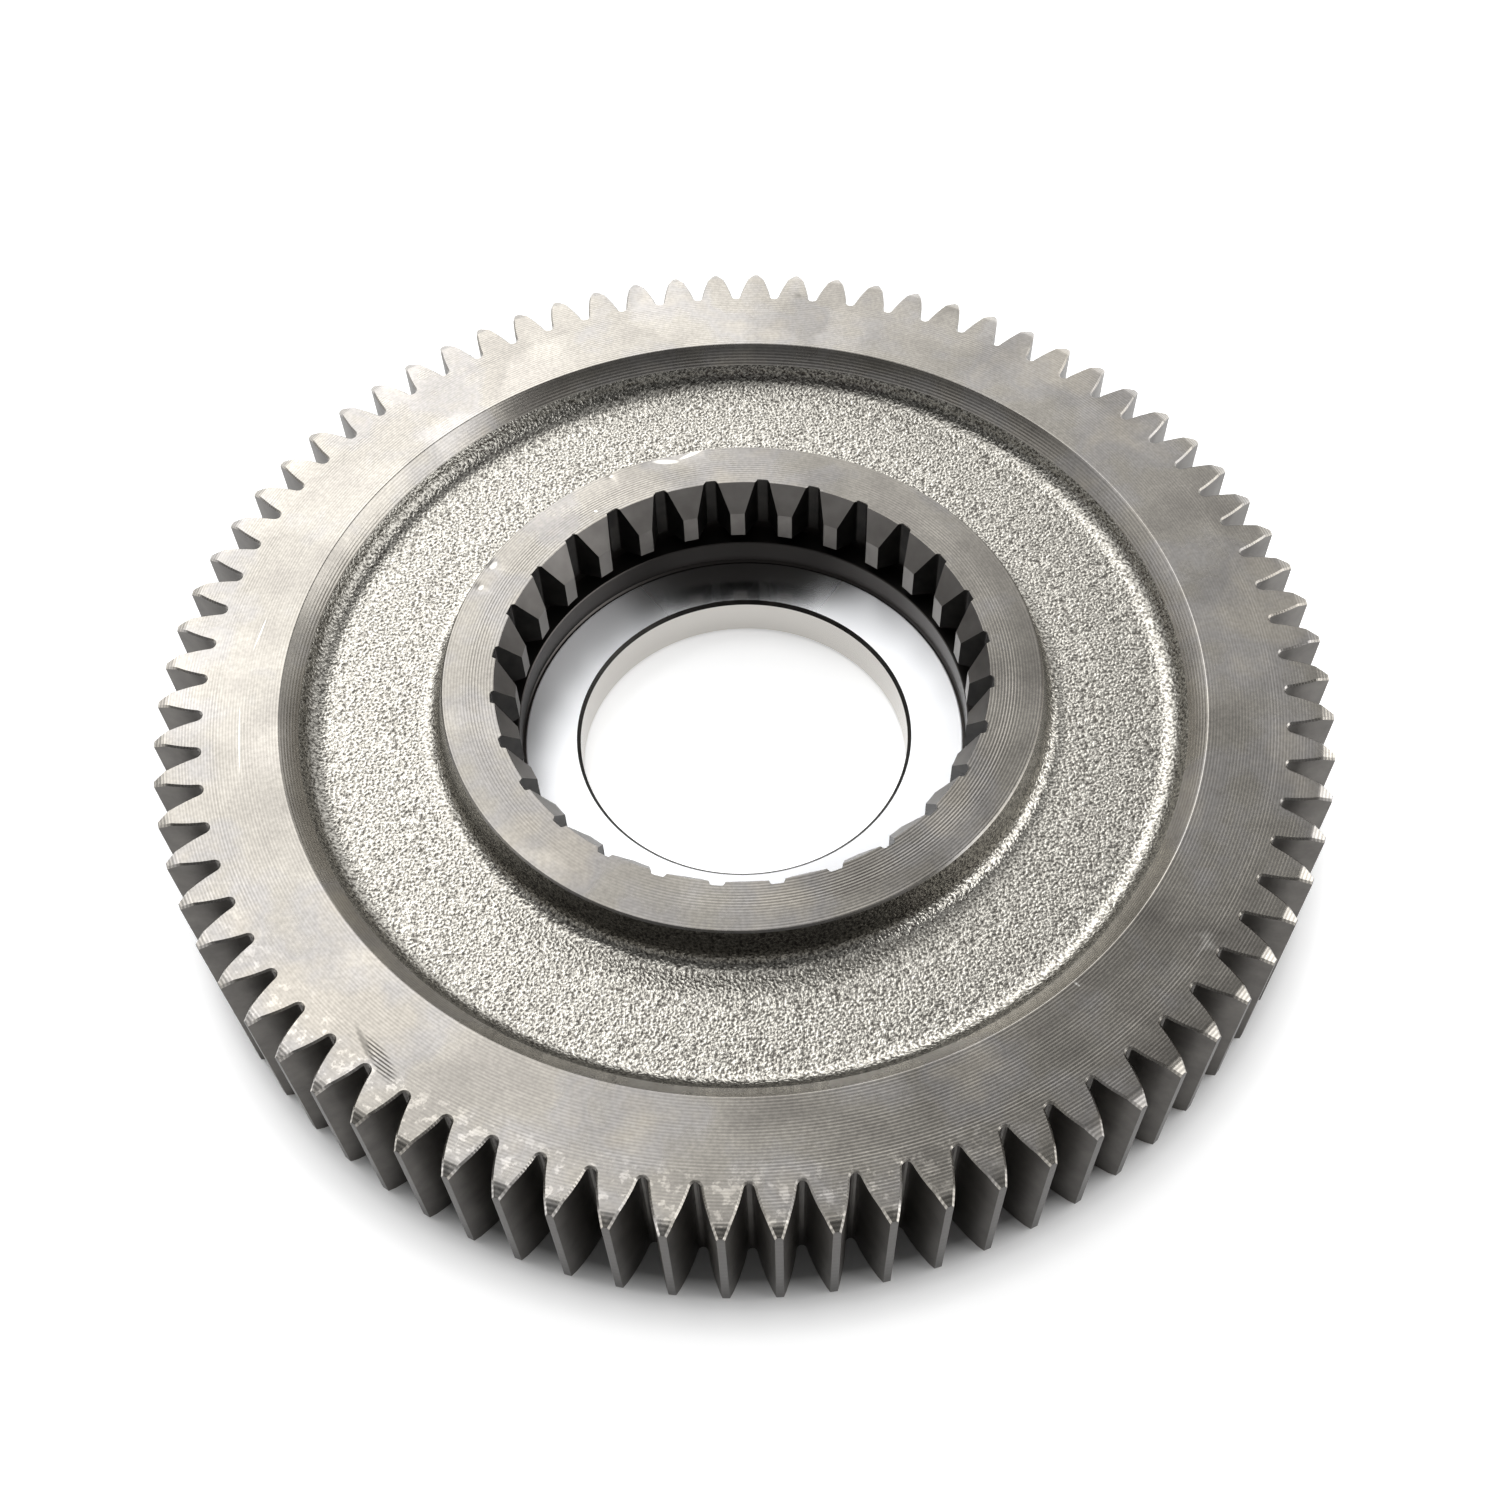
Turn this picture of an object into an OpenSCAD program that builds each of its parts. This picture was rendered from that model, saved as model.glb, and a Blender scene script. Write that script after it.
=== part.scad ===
// Transmission gear: a one-piece steel spur gear with a dished forged web, a hub with
// internal clutch teeth on its upper side, and a ground thrust face above a plain bore.
// Millimetres. The axis is +Z, and the lower face of the rim lies on z = 0.

/* [Gear teeth] */
// Number of teeth round the rim
tooth_count = 76; // [70:1:84]
// Pitch diameter divided by the number of teeth
tooth_module = 3.175; // [3:0.025:3.4]
// Pressure angle of the involute flanks, in degrees
pressure_angle = 20; // [18:0.5:22]
// Height of a tooth above the pitch circle
tooth_addendum = 4.35; // [3.4:0.05:4.5]
// Depth of a tooth space below the pitch circle
tooth_dedendum = 5.65; // [4.6:0.05:5.8]
// Width of the rim and the hub, from face to face
face_width = 35; // [32:0.5:44]
// Radial width of the turned chamfer on the upper tooth tips
tip_chamfer_w = 2.8; // [1.5:0.1:3.4]
// Axial height of the turned chamfer on the upper tooth tips
tip_chamfer_h = 1.4; // [0.8:0.1:2.4]
// Edge break on the lower tooth tips
tip_break = 0.5; // [0.2:0.1:1.2]

/* [Rim and web] */
// Radial width of the solid rim, from the tooth roots to the edge of its face
rim_w = 16.4; // [13:0.2:19]
// Radial width of the turned cone inside the rim
rim_cone_w = 3.4; // [2:0.1:5]
// Depth of the turned cone inside the rim
rim_cone_h = 3.8; // [2.4:0.1:4.4]
// Draft of the forged wall below the turned cone, in degrees
rim_draft = 25; // [12:1:32]
// Depth of the upper recess where the web meets the rim
web_depth_rim = 8; // [7:0.1:9.5]
// Depth of the upper recess where the web meets the hub
web_depth_hub = 9.4; // [7:0.1:10.4]
// Depth of the lower recess
web_depth_low = 8; // [7:0.1:9.5]
// Fillet between the web and the rim
rim_fillet = 5; // [2.5:0.1:5.5]
// Fillet between the web and the hub
hub_fillet = 4; // [2:0.1:5]

/* [Hub] */
// Thickness of the hub between its outer edge and the floor of the clutch spaces
hub_wall = 10.5; // [8:0.1:12]
// Draft of the forged outer wall of the hub, in degrees
hub_draft = 12; // [5:1:16]
// Edge break on the turned faces of the rim and the hub
face_break = 0.4; // [0.2:0.1:0.8]

/* [Clutch teeth] */
// Number of internal clutch teeth
clutch_count = 28; // [24:1:32]
// Angle from the middle of a gear tooth space to the middle of a clutch space, in degrees
clutch_phase = 7; // [0:0.5:12]
// Radius to the floor of the clutch spaces
clutch_major_r = 53.9; // [52:0.1:56]
// Radial height of a clutch tooth
clutch_tooth_h = 4.7; // [4:0.1:5]
// Width of the floor of a clutch space
clutch_floor_w = 2.5; // [2.2:0.1:3]
// Angle between a clutch flank and the middle of its space, in degrees
clutch_flank_angle = 29; // [25:1:31]
// Corner radius at the floor of a clutch space
clutch_corner_r = 0.5; // [0.2:0.1:0.7]
// Length of the clutch teeth below the upper face of the hub
clutch_len = 13.9; // [12:0.1:16]
// Radial step between the floor of a clutch space and the lead-in cone at the face
lead_step = 0.8; // [0.4:0.1:1.4]
// Angle between the lead-in cone and the axis, in degrees
lead_angle = 31; // [27:1:40]

/* [Counterbore and bore] */
// Axial width of the runout groove under the clutch teeth
runout_w = 3.3; // [2:0.1:4]
// Depth of the runout groove behind the floor of the clutch spaces
runout_d = 0.7; // [0.3:0.1:1.2]
// Clearance of the counterbore round the crests of the clutch teeth
counterbore_clear = 0.4; // [0.2:0.1:1]
// Height of the counterbore wall above the thrust face
counterbore_h = 6.7; // [5:0.1:8]
// Width and depth of the grinding relief at the foot of the counterbore
relief_w = 1; // [0.9:0.1:1.6]
// Rounding of the outer edge of the thrust face
thrust_round = 0.4; // [0.2:0.1:0.4]
// Radius of the bore
bore_r = 36.8; // [34:0.1:40]
// Edge break between the thrust face and the bore
bore_break = 0.8; // [0.3:0.1:1.2]
// Chamfer at the lower end of the bore
bore_chamfer = 1.1; // [0.5:0.1:1.6]

/* [Hidden] */
$fn = 360;
// Straight steps along an involute flank, and round a corner
flank_steps = 5;
corner_steps = 6;
// Most of a straight side that the rounding of one of its corners may take up
side_share = 0.95;
// Passes of the search for the root radius, which settles after a few
root_passes = 8;
// Overshoot of a cutting tool past the surface that it leaves
over = 1;

// Gear circles
pitch_r = tooth_count * tooth_module / 2;
base_r = pitch_r * cos(pressure_angle);
tip_r = pitch_r + tooth_addendum;
root_r = pitch_r - tooth_dedendum;

// Radii of the rim and the hub
rim_in_r = root_r - rim_w;
rim_cone_r = rim_in_r - rim_cone_w;
hub_r = clutch_major_r + hub_wall;

// Foot of the forged wall of the rim, and of the hub, in a recess of a given depth
function rim_foot_r(depth) = rim_cone_r - (depth - rim_cone_h) * tan(rim_draft);
function hub_foot_r(depth) = hub_r + depth * tan(hub_draft);

// Clutch teeth and counterbore
clutch_crest_r = clutch_major_r - clutch_tooth_h;
lead_r = clutch_major_r - lead_step;
lead_h = (lead_r - clutch_crest_r) / tan(lead_angle);
counterbore_r = clutch_crest_r + counterbore_clear;
runout_r = clutch_major_r + runout_d;
clutch_end_z = face_width - clutch_len;
ledge_z = clutch_end_z - runout_w;
thrust_z = ledge_z - counterbore_h;
thrust_r = counterbore_r - relief_w / 2;
relief_r = counterbore_r + relief_w / 2;

// Arc that rounds the corner b between the points a and c, as far as its sides allow
function unit(v) = v / norm(v);
function corner_arc(a, b, c, wanted_r) =
    let (to_a = unit(a - b),
         to_c = unit(c - b),
         half = acos(to_a * to_c) / 2,
         r = min(wanted_r, side_share * min(norm(a - b), norm(c - b)) * tan(half)),
         centre = b + unit(to_a + to_c) * r / sin(half),
         from = b + to_a * r / tan(half) - centre,
         to = b + to_c * r / tan(half) - centre,
         start = atan2(from[1], from[0]),
         sweep = (atan2(to[1], to[0]) - start + 540) % 360 - 180)
    [for (i = [0:corner_steps])
        let (at = start + sweep * i / corner_steps) centre + r * [cos(at), sin(at)]];

// Closed outline through corners given as [x, y, corner radius]
function point(corner) = [corner[0], corner[1]];
function rounded(corners) =
    let (n = len(corners))
    [for (i = [0:n - 1])
        let (a = point(corners[(i + n - 1) % n]),
             b = point(corners[i]),
             c = point(corners[(i + 1) % n]))
        each corners[i][2] > 0 ? corner_arc(a, b, c, corners[i][2]) : [b]];

// Half-section of the blank, as [radius, height, corner radius], anticlockwise from the bore
blank_corners = [
    [bore_r, bore_chamfer, 0],
    [bore_r + bore_chamfer, 0, 0],
    // Lower face of the hub, lower recess, lower face of the rim
    [hub_r - face_break, 0, 0],
    [hub_r, face_break, 0],
    [hub_foot_r(web_depth_low), web_depth_low, hub_fillet],
    [rim_foot_r(web_depth_low), web_depth_low, rim_fillet],
    [rim_cone_r, rim_cone_h, 0],
    [rim_in_r, 0, 0],
    // Tooth tips
    [tip_r - tip_break, 0, 0],
    [tip_r, tip_break, 0],
    [tip_r, face_width - tip_chamfer_h, 0],
    [tip_r - tip_chamfer_w, face_width, 0],
    // Upper face of the rim, upper recess, upper face of the hub
    [rim_in_r, face_width, 0],
    [rim_cone_r, face_width - rim_cone_h, 0],
    [rim_foot_r(web_depth_rim), face_width - web_depth_rim, rim_fillet],
    [hub_foot_r(web_depth_hub), face_width - web_depth_hub, hub_fillet],
    [hub_r, face_width - face_break, 0],
    [hub_r - face_break, face_width, 0],
    // Lead-in cone, crests of the clutch teeth, runout groove
    [lead_r, face_width, 0],
    [clutch_crest_r, face_width - lead_h, 0],
    [clutch_crest_r, clutch_end_z, 0],
    [runout_r, clutch_end_z, 0],
    [runout_r, ledge_z, 0],
    // Counterbore, grinding relief, thrust face
    [counterbore_r, ledge_z, 0],
    [counterbore_r, thrust_z + relief_w / 2, 0],
    [relief_r, thrust_z, 0],
    [counterbore_r, thrust_z - relief_w / 2, 0],
    [thrust_r, thrust_z - relief_w / 2, 0],
    [thrust_r, thrust_z, thrust_round],
    [bore_r + bore_break, thrust_z, 0],
    [bore_r, thrust_z - bore_break, 0]
];

// Involute of the base circle, and half the angle of a tooth space at radius r, in degrees
function involute(angle) = tan(angle) * 180 / PI - angle;
function flank_angle(r) = r > base_r ? acos(base_r / r) : 0;
function space_half_angle(r) =
    90 / tooth_count - involute(pressure_angle) + involute(flank_angle(r));
function space_half_w(r) = r * sin(space_half_angle(r));

// Full radius at the foot of a tooth space, tangent to both flanks
function root_slope(r) = flank_angle(r) + space_half_angle(r);
function root_search(r, passes) =
    let (touch = root_r + r * (1 - sin(root_slope(root_r + r))))
    passes == 0 ? r : root_search(space_half_w(touch) / cos(root_slope(touch)), passes - 1);
root_radius = root_search(tooth_module / 4, root_passes);
root_tangent = root_slope(root_r + root_radius);
flank_start_r = root_r + root_radius * (1 - sin(root_tangent));

// Outline of one tooth space on +X: up one flank, down the other and round the root
function flank(side) =
    [for (i = [0:flank_steps])
        let (r = flank_start_r + (tip_r + over - flank_start_r) * i / flank_steps,
             at = side * space_half_angle(r))
        r * [cos(at), sin(at)]];
function root_arc() =
    let (span = 90 - root_tangent)
    [for (i = [1:corner_steps - 1])
        let (at = 180 - span + 2 * span * i / corner_steps)
        [root_r + root_radius + root_radius * cos(at), root_radius * sin(at)]];
function reversed(list) = [for (i = [len(list) - 1:-1:0]) list[i]];
space_outline = concat(flank(-1), reversed(flank(1)), root_arc());

// Outline of one clutch space on +X: its floor, and flanks that open towards the axis
clutch_mouth_r = clutch_crest_r - over;
clutch_mouth_half_w =
    clutch_floor_w / 2 + (clutch_major_r - clutch_mouth_r) * tan(clutch_flank_angle);
clutch_outline = rounded([
    [clutch_mouth_r, -clutch_mouth_half_w, 0],
    [clutch_major_r, -clutch_floor_w / 2, clutch_corner_r],
    [clutch_major_r, clutch_floor_w / 2, clutch_corner_r],
    [clutch_mouth_r, clutch_mouth_half_w, 0]
]);

module blank() {
    rotate_extrude()
        polygon(rounded(blank_corners));
}

module tooth_spaces() {
    for (i = [0:tooth_count - 1])
        rotate([0, 0, i * 360 / tooth_count])
            translate([0, 0, -over])
                linear_extrude(face_width + 2 * over)
                    polygon(space_outline);
}

module clutch_spaces() {
    for (i = [0:clutch_count - 1])
        rotate([0, 0, clutch_phase + i * 360 / clutch_count])
            translate([0, 0, clutch_end_z - runout_w / 2])
                linear_extrude(clutch_len + runout_w / 2 + over)
                    polygon(clutch_outline);
}

module transmission_gear() {
    color("#8e8d8a")
        difference() {
            blank();
            tooth_spaces();
            clutch_spaces();
        }
}

transmission_gear();
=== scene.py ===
import math

import bmesh
import bpy
import numpy as np
from mathutils import Matrix, Vector


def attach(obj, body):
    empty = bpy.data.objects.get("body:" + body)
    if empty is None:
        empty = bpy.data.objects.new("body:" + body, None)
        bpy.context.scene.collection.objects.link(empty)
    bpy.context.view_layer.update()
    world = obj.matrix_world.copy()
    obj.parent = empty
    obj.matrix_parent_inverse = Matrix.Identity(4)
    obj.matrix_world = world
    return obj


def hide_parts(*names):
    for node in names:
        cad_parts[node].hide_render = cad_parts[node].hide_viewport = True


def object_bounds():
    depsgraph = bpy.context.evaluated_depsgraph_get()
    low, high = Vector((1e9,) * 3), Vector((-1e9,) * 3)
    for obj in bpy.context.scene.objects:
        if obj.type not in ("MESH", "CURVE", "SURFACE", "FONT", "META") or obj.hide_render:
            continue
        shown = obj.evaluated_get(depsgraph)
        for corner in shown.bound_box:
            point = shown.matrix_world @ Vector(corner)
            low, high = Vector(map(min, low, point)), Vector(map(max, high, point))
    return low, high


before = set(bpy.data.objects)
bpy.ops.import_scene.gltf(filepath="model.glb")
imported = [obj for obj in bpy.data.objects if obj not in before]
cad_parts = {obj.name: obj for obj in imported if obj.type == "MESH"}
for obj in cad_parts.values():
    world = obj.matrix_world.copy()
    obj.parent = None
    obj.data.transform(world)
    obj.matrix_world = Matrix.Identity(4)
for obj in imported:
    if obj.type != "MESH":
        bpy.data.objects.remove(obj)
cad_low, cad_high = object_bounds()


# Toothed rim: the outer ring of the forging, turned on its faces and inside its recesses, then
# hobbed into straight involute teeth. One tooth is modelled, with its deburred edges and turned
# tip chamfer, and Geometry Nodes set the copies round the axis.
MM = 0.001
face_w = cad_high.z / MM
tooth_count = 76
tooth_module = 3.175
pressure_angle = math.radians(20)
addendum = 4.35
dedendum = 5.65
pitch_r = tooth_count * tooth_module / 2
base_r = pitch_r * math.cos(pressure_angle)
tip_r = pitch_r + addendum
root_r = pitch_r - dedendum
tip_chamfer_w = 2.8
tip_chamfer_h = 1.4
tip_break = 0.5
deburr = 0.4
rim_face_w = 16.4
rim_in_r = root_r - rim_face_w
rim_cone_w = 3.4
rim_cone_h = 3.8
rim_cone_angle = math.atan2(rim_cone_h, rim_cone_w)
rim_edge = 0.1
root_ring = 4
rim_columns = 14
root_steps = 3
root_rounds = 8
tooth_columns = rim_columns - 2 * root_steps
flank_heights = (0, 0.14, 0.3, 0.47, 0.64)


def involute(angle):
    return math.tan(angle) - angle


def space_half_angle(r):
    """Half the angle of a tooth space at radius r."""
    at_flank = math.acos(min(1, base_r / r))
    return math.pi / 2 / tooth_count - involute(pressure_angle) + involute(at_flank)


def polar(r, angle):
    return np.array((r * math.cos(angle), r * math.sin(angle)))


def root_round():
    """Radius of the root, tangent to both flanks, and the slope of the flanks there."""
    radius = tooth_module / 4
    for _ in range(root_rounds):
        touch = root_r + radius
        slope = math.acos(min(1, base_r / touch)) + space_half_angle(touch)
        touch -= radius * math.sin(slope)
        radius = touch * math.sin(space_half_angle(touch)) / math.cos(slope)
    return radius, slope


def tooth_side():
    """Points from the middle of a tooth space, round the root and up the flank to the tip."""
    radius, slope = root_round()
    half_pitch = math.pi / tooth_count
    turn = np.array(((math.cos(half_pitch), -math.sin(half_pitch)),
                     (math.sin(half_pitch), math.cos(half_pitch))))
    points = []
    for i in range(root_steps + 1):
        at = math.pi + (math.pi / 2 - slope) * i / root_steps
        centre = np.array((root_r + radius, 0))
        points.append(turn @ (centre + radius * np.array((math.cos(at), math.sin(at)))))
    start_r = np.linalg.norm(points[-1])
    chamfer_r = tip_r - tip_chamfer_w
    rs = [start_r + (tip_r - start_r) * h for h in flank_heights[1:]]
    for r in rs + [chamfer_r, (chamfer_r + tip_r) / 2, tip_r]:
        points.append(polar(r, half_pitch - space_half_angle(r)))
    return np.array(points)


def inset(points, distance):
    """The same points, moved into the steel on their right-hand side."""
    ahead = np.gradient(points, axis=0)
    ahead[0] = (points[0][1], -points[0][0])
    ahead /= np.linalg.norm(ahead, axis=1)[:, None]
    return points + distance * np.column_stack((ahead[:, 1], -ahead[:, 0]))


def upper_z(r):
    return face_w - max(0, r - tip_r + tip_chamfer_w) * tip_chamfer_h / tip_chamfer_w


def lower_z(r):
    return max(0, r - tip_r + tip_break)


def row_of(bm, points):
    """One vertex for each point, in millimetres."""
    return [bm.verts.new([c * MM for c in p]) for p in points]


def skin(bm, rows, finish):
    """Faces of one finish between neighbouring rows of vertices."""
    mark = bm.faces.layers.int["finish"]
    for near, far in zip(rows, rows[1:]):
        for a, b, c, d in zip(near, near[1:], far[1:], far):
            bm.faces.new((a, b, c, d))[mark] = finish


def arc_row(bm, r, z, pitch, columns, turn=0):
    """A row of vertices along one pitch of a circle."""
    steps = np.linspace(-pitch / 2, pitch / 2, columns + 1) + turn
    return row_of(bm, [(*polar(r, a), z) for a in steps])


def tooth_end(bm, side, height):
    """Rows over one end of a tooth, from its root to its tip, and the row round its edge."""
    mirrored = side * (1, -1)
    rows = []
    for low, high in list(zip(mirrored, side))[root_steps:]:
        across = [low + (high - low) * i / tooth_columns for i in range(tooth_columns + 1)]
        rows.append(row_of(bm, [(*p, height(np.linalg.norm(p))) for p in across]))
    left = row_of(bm, [(*p, height(np.linalg.norm(p))) for p in mirrored[:root_steps]])
    right = row_of(bm, [(*p, height(np.linalg.norm(p))) for p in side[:root_steps]][::-1])
    root_row = left + rows[0] + right
    edge = left + [r[0] for r in rows] + rows[-1][1:-1] + [r[-1] for r in rows][::-1] + right
    return rows, root_row, edge


def edge_row(bm, side, height):
    """The row round the edge of a tooth at its full outline."""
    mirrored = side * (1, -1)
    land = [mirrored[-1] + (side[-1] - mirrored[-1]) * i / tooth_columns
            for i in range(1, tooth_columns)]
    outline = list(mirrored) + land + list(side[::-1])
    return row_of(bm, [(*p, height(np.linalg.norm(p))) for p in outline])


TURNED, HOBBED, LAND = 0, 1, 2
pitch = math.tau / tooth_count
side = tooth_side()
bm = bmesh.new()
bm.faces.layers.int.new("finish")
ends = []
for height, inward in ((upper_z, -1), (lower_z, 1)):
    rows, root_row, edge = tooth_end(bm, inset(side, deburr), height)
    full = edge_row(bm, side, lambda r: height(r) + inward * deburr)
    face_z = height(rim_in_r)
    face = [arc_row(bm, r, z, pitch, rim_columns) for r, z in (
        (rim_in_r - rim_cone_w, face_z + inward * rim_cone_h),
        (rim_in_r - rim_edge * math.cos(rim_cone_angle),
         face_z + inward * rim_edge * math.sin(rim_cone_angle)),
        (rim_in_r + rim_edge, face_z),
        (root_r - root_ring, face_z))]
    skin(bm, face + [root_row], TURNED)
    skin(bm, rows, TURNED)
    ends.append((edge, full))
flank_end = root_steps + len(flank_heights) + 2
land_end = flank_end + tooth_columns
for first, last, edge_finish, finish in (
        (0, flank_end, TURNED, HOBBED),
        (flank_end, land_end, LAND, LAND),
        (land_end, len(ends[0][1]) - 1, TURNED, HOBBED)):
    for end in ends:
        skin(bm, [row[first:last + 1] for row in end], edge_finish)
    skin(bm, [full[first:last + 1] for edge, full in ends], finish)
tooth = bpy.data.objects.new("one_tooth", bpy.data.meshes.new("one_tooth"))
bm.to_mesh(tooth.data)
bm.free()


def add(tree, kind, inputs=None, **settings):
    """Adds a node with its settings; an input is a value or another node's output."""
    node = tree.nodes.new(kind)
    for name, value in settings.items():
        setattr(node, name, value)
    for key, value in (inputs or {}).items():
        if isinstance(value, bpy.types.NodeSocket):
            tree.links.new(value, node.inputs[key])
        else:
            node.inputs[key].default_value = value
    return node


def form_tree(name, sockets):
    """An empty Geometry Nodes tree with named inputs and one shape as its output."""
    tree = bpy.data.node_groups.new(name, "GeometryNodeTree")
    for label, kind in sockets.items():
        tree.interface.new_socket(label, in_out="INPUT", socket_type="NodeSocket" + kind)
    tree.interface.new_socket("Shape", in_out="OUTPUT", socket_type="NodeSocketGeometry")
    given = tree.nodes.new("NodeGroupInput").outputs
    shape = tree.nodes.new("NodeGroupOutput").inputs["Shape"]
    return tree, given, shape


def grown(name, tree, values):
    """A plain mesh made by a tree with these inputs."""
    carrier = bpy.data.objects.new(name, bpy.data.meshes.new(name))
    bpy.context.scene.collection.objects.link(carrier)
    modifier = carrier.modifiers.new("form", "NODES")
    modifier.node_group = tree
    for item in tree.interface.items_tree:
        if item.in_out == "INPUT":
            modifier[item.identifier] = values[item.name]
    evaluated = carrier.evaluated_get(bpy.context.evaluated_depsgraph_get())
    mesh = bpy.data.meshes.new_from_object(evaluated)
    carrier.modifiers.remove(modifier)
    bpy.data.objects.remove(carrier)
    return mesh


copies, given, shape = form_tree("ring of copies", {
    "Sector": "Object", "Copies": "Int", "First angle": "Float", "Weld": "Float",
    "Finish 0": "Material", "Finish 1": "Material", "Finish 2": "Material"})
sector = add(copies, "GeometryNodeObjectInfo", {"Object": given["Sector"]})
seats = add(copies, "GeometryNodePoints", {"Count": given["Copies"]})
step = add(copies, "ShaderNodeMath", {0: math.tau, 1: given["Copies"]}, operation="DIVIDE")
place = add(copies, "GeometryNodeInputIndex")
turn = add(copies, "ShaderNodeMath", {0: place.outputs[0], 1: step.outputs[0],
                                      2: given["First angle"]}, operation="MULTIPLY_ADD")
turned = add(copies, "ShaderNodeCombineXYZ", {"Z": turn.outputs[0]})
ring = add(copies, "GeometryNodeInstanceOnPoints", {
    "Points": seats.outputs[0], "Instance": sector.outputs["Geometry"],
    "Rotation": turned.outputs[0]})
real = add(copies, "GeometryNodeRealizeInstances", {"Geometry": ring.outputs[0]})
made = add(copies, "GeometryNodeMergeByDistance", {
    "Geometry": real.outputs[0], "Distance": given["Weld"]})
mark = add(copies, "GeometryNodeInputNamedAttribute", {"Name": "finish"}, data_type="INT")
for i in range(3):
    chosen = add(copies, "FunctionNodeCompare", data_type="INT", operation="EQUAL")
    copies.links.new(mark.outputs["Attribute"], chosen.inputs[2])
    chosen.inputs[3].default_value = i
    made = add(copies, "GeometryNodeSetMaterial", {
        "Geometry": made.outputs[0], "Selection": chosen.outputs[0],
        "Material": given[f"Finish {i}"]})
copies.links.new(made.outputs[0], shape)


def linear(hex_colour):
    """Linear RGBA of an sRGB hex colour."""
    srgb = [int(hex_colour[i:i + 2], 16) / 255 for i in (1, 3, 5)]
    return [c / 12.92 if c < 0.04045 else ((c + 0.055) / 1.055) ** 2.4 for c in srgb] + [1]


def finish_of(name):
    """A new material, its node tree and its shader."""
    material = bpy.data.materials.new(name)
    material.use_nodes = True
    return material, material.node_tree, material.node_tree.nodes["Principled BSDF"]


def lathe_lines(tree, spacing):
    """Rings about the axis, as a lathe tool leaves them, from -1 to 1."""
    at = add(tree, "ShaderNodeTexCoord").outputs["Object"]
    x, y, z = add(tree, "ShaderNodeSeparateXYZ", {0: at}).outputs
    flat = add(tree, "ShaderNodeCombineXYZ", {"X": x, "Y": y})
    radius = add(tree, "ShaderNodeVectorMath", {0: flat.outputs[0]}, operation="LENGTH")
    along = add(tree, "ShaderNodeMath", {0: z, 1: 0.3, 2: radius.outputs["Value"]},
                operation="MULTIPLY_ADD").outputs[0]
    turns = add(tree, "ShaderNodeMath", {0: along, 1: math.tau / (spacing * MM)},
                operation="MULTIPLY")
    wave = add(tree, "ShaderNodeMath", {0: turns.outputs[0]}, operation="SINE")
    depth = add(tree, "ShaderNodeTexNoise", {"W": along, "Scale": 1 / (5 * MM), "Detail": 2.0},
                noise_dimensions="1D")
    lines = add(tree, "ShaderNodeMath", {0: wave.outputs[0], 1: depth.outputs["Fac"]},
                operation="MULTIPLY")
    return at, radius.outputs["Value"], lines.outputs[0]


def ramp(tree, factor, stops):
    """A colour ramp with stops given as (place, hex colour)."""
    node = add(tree, "ShaderNodeValToRGB", {"Fac": factor})
    points = node.color_ramp.elements
    for i, (place, colour) in enumerate(stops):
        point = points[i] if i < 2 else points.new(place)
        point.position = place
        point.color = linear(colour)
    return node.outputs["Color"]


def spot(tree, at, x, y, half_length, half_width, turn, soft):
    """1 inside an oval on the upper faces, fading to 0 over its soft edge."""
    local = add(tree, "ShaderNodeMapping", {
        "Vector": at, "Location": (x * MM, y * MM, face_w * MM),
        "Rotation": (0, 0, math.radians(turn)),
        "Scale": (half_length * MM, half_width * MM, MM)}, vector_type="TEXTURE")
    reach = add(tree, "ShaderNodeVectorMath", {0: local.outputs[0]}, operation="LENGTH")
    return add(tree, "ShaderNodeMapRange", {
        "Value": reach.outputs["Value"], 1: 1 - soft, 2: 1.0, 3: 1.0, 4: 0.0}).outputs[0]


def strongest(tree, masks):
    """The largest of several masks."""
    most = masks[0]
    for mask in masks[1:]:
        most = add(tree, "ShaderNodeMath", {0: most, 1: mask}, operation="MAXIMUM").outputs[0]
    return most


def scaled(tree, value, low, high, new_low, new_high):
    """A value moved from one range to another and kept within it."""
    return add(tree, "ShaderNodeMapRange", {
        "Value": value, 1: low, 2: high, 3: new_low, 4: new_high}).outputs[0]


def rise(tree, distance, start, end):
    """0 up to one distance, given in millimetres, and rising to 1 at another."""
    return scaled(tree, distance, start * MM, end * MM, 0.0, 1.0)


def product(tree, values):
    """Several values multiplied."""
    total = values[0]
    for value in values[1:]:
        total = add(tree, "ShaderNodeMath", {0: total, 1: value}, operation="MULTIPLY").outputs[0]
    return total


def blend(tree, share, colour_a, colour_b):
    """A colour between two, by a share from 0 to 1."""
    node = add(tree, "ShaderNodeMix", {0: share, 6: colour_a, 7: colour_b}, data_type="RGBA")
    return node.outputs[2]


def stretch_gloss(tree, shader, amount):
    """Stretches the gloss across the fine rings that the tool left about the axis."""
    tangent = add(tree, "ShaderNodeTangent", direction_type="RADIAL", axis="Z")
    tree.links.new(tangent.outputs[0], shader.inputs["Tangent"])
    shader.inputs["Anisotropic"].default_value = amount
    shader.inputs["Anisotropic Rotation"].default_value = 0.25


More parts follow.
